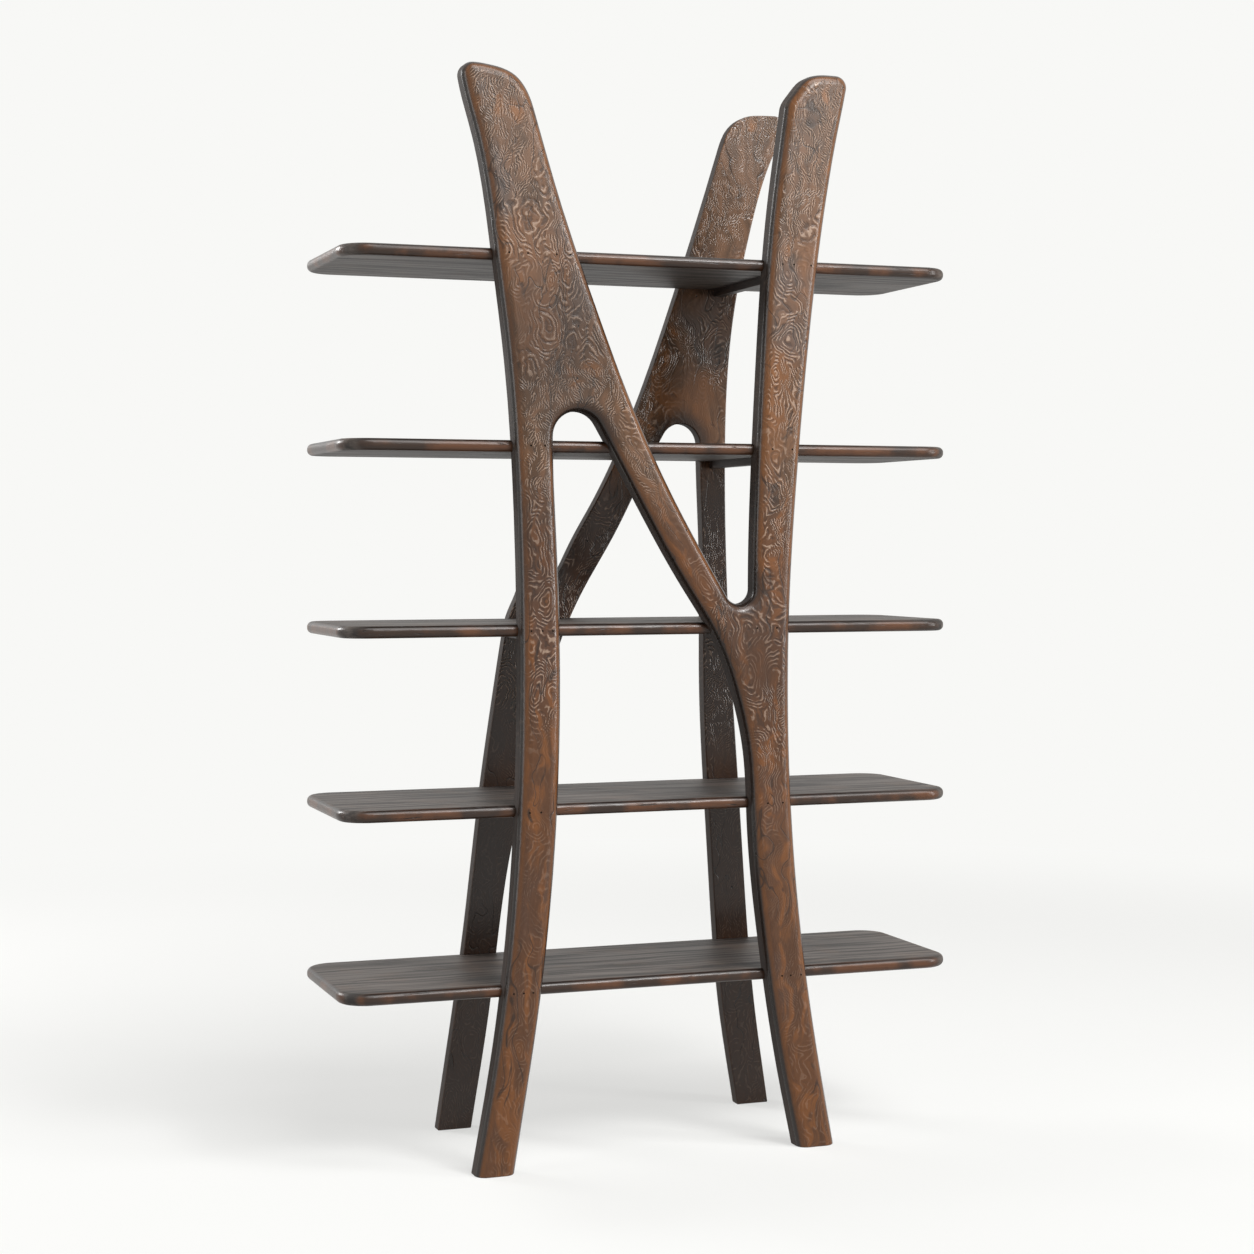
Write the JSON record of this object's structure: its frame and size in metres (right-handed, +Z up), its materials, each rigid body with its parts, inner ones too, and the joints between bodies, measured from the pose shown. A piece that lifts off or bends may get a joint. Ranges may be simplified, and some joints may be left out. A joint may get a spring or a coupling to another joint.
{
  "type": "bookshelf",
  "caption": "Free-standing open bookshelf: round-cornered shelves held between two sculpted wooden frames, each with a blade, arch, diagonal and prong.",
  "frame": {"origin": "on the floor, under the middle of the shelves", "axes": "+Z up; +X to the right along the shelves; the front frame is on the -Y side"},
  "size_m": [1.2, 0.401, 2.0141],
  "materials": {
    "frame_wood": "satin dark stain over carved, worm-grooved hardwood",
    "shelf_wood": "satin dark stain",
    "rail_wood": "satin dark stain",
    "tenon_wood": "bare",
    "fastener_steel": "blackened"
  },
  "bodies": {
    "root": {"front_bladed_leg": "frame_wood", "front_diagonal": "frame_wood", "front_prong": "frame_wood", "front_webbed_leg": "frame_wood", "front_blade_tenon": "tenon_wood", "front_web_tenon": "tenon_wood", "front_scarf_tenon": "tenon_wood", "rear_bladed_leg": "frame_wood", "rear_diagonal": "frame_wood", "rear_prong": "frame_wood", "rear_webbed_leg": "frame_wood", "rear_blade_tenon": "tenon_wood", "rear_web_tenon": "tenon_wood", "rear_scarf_tenon": "tenon_wood", "lowest_shelf": "shelf_wood", "left_lowest_rail": "rail_wood", "right_lowest_rail": "rail_wood", "lowest_rail_dowels": "tenon_wood", "lowest_rail_screws": "fastener_steel", "front_lowest_shelf_pins": "fastener_steel", "rear_lowest_shelf_pins": "fastener_steel", "second_shelf": "shelf_wood", "left_second_rail": "rail_wood", "right_second_rail": "rail_wood", "second_rail_dowels": "tenon_wood", "second_rail_screws": "fastener_steel", "front_second_shelf_pins": "fastener_steel", "rear_second_shelf_pins": "fastener_steel", "third_shelf": "shelf_wood", "left_third_rail": "rail_wood", "right_third_rail": "rail_wood", "third_rail_dowels": "tenon_wood", "third_rail_screws": "fastener_steel", "front_third_shelf_pins": "fastener_steel", "rear_third_shelf_pins": "fastener_steel", "fourth_shelf": "shelf_wood", "left_fourth_rail": "rail_wood", "right_fourth_rail": "rail_wood", "fourth_rail_dowels": "tenon_wood", "fourth_rail_screws": "fastener_steel", "front_fourth_shelf_pins": "fastener_steel", "rear_fourth_shelf_pins": "fastener_steel", "top_shelf": "shelf_wood", "left_top_rail": "rail_wood", "right_top_rail": "rail_wood", "top_rail_dowels": "tenon_wood", "top_rail_screws": "fastener_steel", "front_top_shelf_pins": "fastener_steel", "rear_top_shelf_pins": "fastener_steel"}
  },
  "joints": []
}
